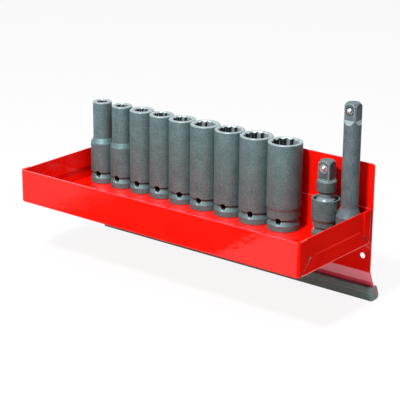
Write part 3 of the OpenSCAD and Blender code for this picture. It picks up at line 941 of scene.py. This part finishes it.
# %% The phosphates of this set
socket_phosphate = phosphate("manganese_phosphate", "4f696b", "789597", 0.1, 0.52, 0.66, 0.6)
head_phosphate = phosphate("dark_phosphate", "2c3c3e", "5a6d6f")
cup_phosphate = phosphate("cup_phosphate", "304648", "5f7c7c")
bar_phosphate = phosphate("bar_phosphate", "334246", "627175")
# painted highlight: a lighter, glossier phosphate for the joint's dome
dome_painted_highlight = phosphate("dome_phosphate_painted_highlight", "64757a", "7c8c92", 0.7, 0.28, 0.36)
# rubbed wear with a painted highlight: a lighter phosphate for rims and the square's foot
rubbed_and_painted_highlight = phosphate("rubbed_phosphate_painted_highlight", "6f7f82", "889a9c", 0.8, 0.2, 0.28)
# painted shade: a dark phosphate for the down-facing faces under the step above the neck
step_painted_shade = phosphate("phosphate_painted_shade_under_step", "1c666c", "247076", 0.0, wear="206a70")
# painted shade: a darker phosphate on the pin holes' walls
pin_hole_painted_shade = phosphate("phosphate_painted_shade_in_pin_hole", "2c3a3c", "364648", 0.1, wear="5c686a")
# painted shade: a near-black on the broach faces that face right
broach_painted_shade = phosphate("steel_painted_shade_on_broach", "12181a", "1c2426", 0.3)
# painted shade: a dark grey on the mitred cuts in the slits
slit_painted_shade = phosphate("steel_painted_shade_in_slits", "2a3030", "3a4040", 0.2)
say("phosphates for sockets, head, cup and bar, and six that are painted on")

# %% [markdown]
# ### Rubber and bare steel
#
# The trim is EPDM rubber with carbon black, extruded and a little chalky, so it is a matt grey
# of uneven tone, with a painted highlight above its ridge and a painted shade below. Balls and
# pins are hardened steel, ground or polished. The broach leaves bare steel in the bores, and an
# Ambient Occlusion node paints shade into its colour, darker with depth in the narrow hole.


# %% Rubber and bare steel
chalk_size, skin_size, skin_depth, painted_shade_reach = 5, 0.6, 0.0002, 0.008


def black_rubber(name, dark, light):
    material, tree = new_material(name)
    tint = stretch(tree, pattern(tree, chalk_size), 0.3, 0.7, dark, light)
    finish(tree, add_node(tree, "ShaderNodeBsdfPrincipled", Base_Color=tint, Roughness=0.5,
                          Normal=relief(tree, pattern(tree, skin_size), 0.3, skin_depth)))
    return material


def bright_steel(name, shade):
    material, tree = new_material(name)
    tint = stretch(tree, pattern(tree, 1.5), 0.3, 0.7, shade, "e2e6e8")
    finish(tree, add_node(tree, "ShaderNodeBsdfPrincipled", Base_Color=tint, Metallic=1.0,
                          Roughness=0.3))
    return material


def bare_steel_painted_shade(name):
    material, tree = new_material(name)
    # painted shade: Ambient Occlusion darkens the colour in the hollows of the bore
    painted_hollow_shade = add_node(tree, "ShaderNodeAmbientOcclusion", {"samples": 8}, Distance=painted_shade_reach)
    tint = stretch(tree, painted_hollow_shade.outputs["AO"], 0.45, 0.95, "1c2122", "a4b0b2")
    finish(tree, add_node(tree, "ShaderNodeBsdfPrincipled", Base_Color=tint, Metallic=0.4,
                          Roughness=0.4))
    return material


trim_rubber = black_rubber("extruded_rubber", "566f6a", "68827c")
# painted highlight above the trim's ridge
ridge_painted_highlight = black_rubber("rubber_painted_highlight", "7c9690", "8ca69f")
# painted shade below the trim's ridge
ridge_painted_shade = black_rubber("ridge_painted_shade", "3e504d", "4c5e5a")
# bare steel in the bores, with painted shade from Ambient Occlusion
broached_painted_shade = bare_steel_painted_shade("broached_steel_painted_shade")
finishes = {"red_enamel": enamel, "phosphate_steel": socket_phosphate,
            "trim_rubber": trim_rubber,
            "ball_steel": bright_steel("polished_ball_steel", "e2e6e8"),
            "pin_steel": bright_steel("ground_pin_steel", "a9adb0")}
say("finishes", [m.name for m in finishes.values()])

# %% [markdown]
# ### Dressing the pieces
#
# Every piece takes the finish of its slot. Wear, painted shade and painted highlights are then
# put on by face: a finish of its own goes to the faces whose middle and normal pass a test, as
# somebody would mask a part before spraying it. This keeps the borders on real edges, which a
# painted picture of them would not.

# %% Dressing
slots = {s["node"]: s["material_slot"] for s in frame["record"]["subparts"]}


def dress(piece, material):
    piece.data.materials.clear()
    piece.data.materials.append(material)


def paint(piece, material, test):
    """Give the faces whose middle, in millimetres, and normal pass a test another finish."""
    piece.data.materials.append(material)
    slot = len(piece.data.materials) - 1
    for face in piece.data.polygons:
        if test(face.center / MM, face.normal):
            face.material_index = slot


for name, node in nodes.items():
    dress(node, finishes[slots[name]])
for piece in bpy.data.objects:
    if "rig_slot" in piece:
        dress(piece, finishes[piece["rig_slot"]])
for piece, material in ((cup, cup_phosphate), (head, head_phosphate), (extension, bar_phosphate)):
    dress(piece, material)
say(len(nodes), "nodes and their pieces dressed")

# %% [markdown]
# Inside a socket the broached faces are bare, apart from those that face right, which are
# painted dark as painted shade. The pin hole's wall is painted darker as painted shade, the rim
# is rubbed and painted lighter as a painted highlight, and the faces above the neck, under the
# step to the full width, are painted dark as painted shade.

# %% Painting the sockets
margin, rim_paint_depth, bore_paint_depth = 0.05, 0.75, broach_run + 0.5


def in_pin_hole(x, y, turn):
    """A test for the faces on a pin hole's wall."""
    a = math.radians(turn)
    return lambda m, n: math.hypot((m.x - x) * math.cos(a) + (m.y - y) * math.sin(a),
                                   m.z - floor_z - pin_h) < pin_r + margin


def in_groove(m, n):
    return n.z < -0.25 and floor_z + 9 < m.z < floor_z + 12


# Painted shade goes to the right-facing broach faces and the pin hole's wall, and rubbed wear with
# a painted highlight to the rim.
for piece, turn, (size, af) in zip(sockets, turned, nut_sizes.items()):
    x, reach = axis_of("socket_" + size)[0], point_reach(af) + lead_in + margin

    def in_bore(m):
        return math.hypot(m.x - x, m.y - row_y) < reach

    paint(piece, broached_painted_shade, lambda m, n: m.z > mouth_z - bore_paint_depth and n.z < 0.95 and in_bore(m))
    paint(piece, broach_painted_shade, lambda m, n: m.z > mouth_z - bore_paint_depth and n.x > 0.45
          and abs(n.z) < 0.1 and in_bore(m))
    paint(piece, pin_hole_painted_shade, in_pin_hole(x, row_y, turn))
    paint(piece, rubbed_and_painted_highlight, lambda m, n: m.z > mouth_z - rim_paint_depth and not in_bore(m))
# painted shade under the step above the neck
for piece in sockets + [extension, cup]:
    paint(piece, step_painted_shade, in_groove)
say("sockets painted, the last with", len(piece.data.materials), "finishes")

# %% [markdown]
# The upward slopes at the foot of the extension's square are rubbed and painted lighter as a
# painted highlight, and the joint's dome is painted lighter as a painted highlight. On the tray
# the rims get a painted highlight in paler enamel, and the mitred cuts beside the slits are
# painted dark as painted shade. The trim's ridge has a painted highlight above and a painted
# shade below.

# %% Painting the rest
rim_z, corner_x = tray_z + wall_h - 0.5, end_x - 3
# rubbed wear with a painted highlight on the square's upward slopes
paint(extension, rubbed_and_painted_highlight, lambda m, n: n.z > 0.1 and -0.1 < m.z - ext_foot < 5)
# painted highlight on the joint's dome
paint(head, dome_painted_highlight, lambda m, n: pivot + 1 < m.z < collar - 2.5)
# painted highlight on the rims in paler enamel, painted shade on the slits' mitred cuts
for piece in [tray] + end_panels:
    paint(piece, rim_painted_highlight, lambda m, n: m.z > rim_z and abs(m.x) < corner_x)
    paint(piece, slit_painted_shade, lambda m, n: abs(m.x) > corner_x and abs(n.x) < 0.3
          and abs(abs(n.z) - 0.707) < 0.08 and m.z > tray_z + 1.5)
# painted highlight above the trim's ridge, painted shade below it
for material, low, high in ((ridge_painted_highlight, 5.3, 6.2), (ridge_painted_shade, 6.2, 7.1)):
    paint(trim, material, lambda m, n: n.y < -0.7 and low < front_top.y - m.z < high)
# painted highlight along the plate's top edge
paint(plate, rim_painted_highlight, lambda m, n: m.z > plate_top - 0.5)
# painted reflection of the white floor on the lip
paint(plate, lip_painted_reflection, lambda m, n: n.z < -0.35 and n.y < -0.8)
say("tray, plate, trim and tools painted")

# %% [markdown]
# ## Floor and light
#
# The photograph is a cut-out on white. A pale floor just under the trim keeps a faint shadow,
# and it looks white to the camera and in reflections without adding light to the object. A
# small hard lamp high in front throws the tools' shadows, a wide weaker one overhead fills the
# tops, and the white room does the rest.


# %% Floor
def on_background(tree):
    """1 on the rays that meet the background directly, in the gloss or through glass."""
    ray = add_node(tree, "ShaderNodeLightPath")
    seen = ray.outputs["Is Camera Ray"]
    for kind in ("Is Glossy Ray", "Is Transmission Ray"):
        seen = add_node(tree, "ShaderNodeMath", {"operation": "MAXIMUM"}, _0=seen,
                        _1=ray.outputs[kind]).outputs[0]
    return seen


def white_paper(name, shade, share):
    """Pale paint that is mostly plain white to the camera and in reflections."""
    material, tree = new_material(name)
    part = add_node(tree, "ShaderNodeMath", {"operation": "MULTIPLY"}, _0=on_background(tree),
                    _1=share)
    pale = add_node(tree, "ShaderNodeBsdfDiffuse", Color=colour(shade))
    white = add_node(tree, "ShaderNodeEmission", Strength=1.0)
    finish(tree, add_node(tree, "ShaderNodeMixShader", _0=part.outputs[0],
                          _1=pale.outputs[0], _2=white.outputs[0]))
    return material


floor = open_piece("floor", z=-43.2, size=6)
bpy.ops.object.mode_set(mode="OBJECT")
dress(floor, white_paper("white_paper", "e8e8e8", 0.9))
say("floor at", round(floor.data.vertices[0].co.z, 4), "m")


# %% Lamps
tray_middle = Vector((0, -0.05, 0.05))


def soft_box(name, place, size, watts):
    """A lamp that looks at the tray, with its place and size in metres."""
    lamp = bpy.data.lights.new(name, "AREA")
    lamp.shape = "RECTANGLE"
    lamp.size, lamp.size_y = size
    lamp.energy = watts
    box = bpy.data.objects.new(name, lamp)
    box.location = place
    way = tray_middle - Vector(place)
    box.rotation_euler = way.to_track_quat("-Z", "Y").to_euler()
    bpy.context.scene.collection.objects.link(box)
    return box


lamps = [soft_box("key", (0.14, -1.0, 1.2), (0.2, 0.2), 30),
         soft_box("top", (0.1, -0.2, 1.4), (0.6, 0.4), 8)]
say("lamps", [(box.name, box.data.energy) for box in lamps])


# %% World
def white_room(name, fill):
    """A world that is white where it is seen and gives a plain, weaker fill of light."""
    world = bpy.data.worlds.new(name)
    world.use_nodes = True
    tree = world.node_tree
    tree.nodes.clear()
    plain, white = (add_node(tree, "ShaderNodeBackground", Color=colour("ffffff"),
                             Strength=strength) for strength in (fill, 1.0))
    both = add_node(tree, "ShaderNodeMixShader", _0=on_background(tree), _1=plain.outputs[0],
                    _2=white.outputs[0])
    add_node(tree, "ShaderNodeOutputWorld", Surface=both.outputs[0])
    return world


bpy.context.scene.world = white_room("white_room", 0.24)
bpy.context.scene.view_settings.view_transform = "Standard"
say("world", bpy.context.scene.world.name)

# %% [markdown]
# ### Black cards
#
# Gloss shows what stands around it, so a shiny tray in a white room looks washed out. A studio
# sets black cards beside the picture, and the enamel then shows dark and light fields that
# tell its shape. Here only reflections see the cards. The one on the left is cloth that thins
# out towards both ends, with a soft uneven edge, so that its end does not draw a hard line
# across the front wall.


# %% Black card
def plain_black(name):
    material, tree = new_material(name)
    finish(tree, add_node(tree, "ShaderNodeBsdfDiffuse", Color=colour("0c0c0c")))
    return material


def black_card(name, middle, size, material):
    """A card of a size in millimetres, 1 along its thin way, that only the gloss sees."""
    turns = {0: along_x, 1: along_y, 2: (0, 0, 0)}
    card = open_piece(name, x=middle[0], y=middle[1], z=middle[2], size=MM,
                      rotation=turns[size.index(1)])
    bpy.ops.mesh.select_all(action="SELECT")
    bpy.ops.transform.resize(value=size, center_override=[v * MM for v in middle])
    bpy.ops.object.mode_set(mode="OBJECT")
    dress(card, material)
    card.visible_camera = card.visible_shadow = card.visible_diffuse = False
    return card


# %% Graded cloth
thin_ends = ((25.0, 65.0, 0.9), (-150.0, -220.0, 0.75))
wave_size, wave_reach = 25, 90.0


def graded_black(name):
    """Black cloth that is thinned along X; an end goes from near to far, up to a share."""
    material, tree = new_material(name)
    x = add_node(tree, "ShaderNodeSeparateXYZ", Vector=in_millimetres(tree)).outputs["X"]
    wave = add_node(tree, "ShaderNodeMath", {"operation": "MULTIPLY_ADD"},
                    _0=pattern(tree, wave_size, 3), _1=wave_reach, _2=x)
    ends = [add_node(tree, "ShaderNodeMapRange", {"interpolation_type": "SMOOTHSTEP"},
                     Value=wave.outputs[0], From_Min=near, From_Max=far, To_Max=most).outputs[0]
            for near, far, most in thin_ends]
    thin = add_node(tree, "ShaderNodeMath", {"operation": "MAXIMUM"}, _0=ends[0], _1=ends[1])
    black = add_node(tree, "ShaderNodeBsdfDiffuse", Color=colour("0c0c0c"))
    clear = add_node(tree, "ShaderNodeBsdfTransparent")
    finish(tree, add_node(tree, "ShaderNodeMixShader", _0=thin.outputs[0], _1=black.outputs[0],
                          _2=clear.outputs[0]))
    return material


card_black = plain_black("black_card")
cards = [black_card("left_flag", (-620, -430, -42.5), (1200, 540, 1), graded_black("graded_card")),
         # painted shade: a dark card, seen only in reflections, for the shade on the floor under
         # the tray
         black_card("under_flag", (0, -75, -42.5), (300, 90, 1), card_black),
         black_card("right_flag", (550, 150, -42.5), (700, 900, 1), card_black),
         black_card("side_flag", (800, 0, 400), (1, 1400, 900), card_black)]
say("cards", [card.name for card in cards])
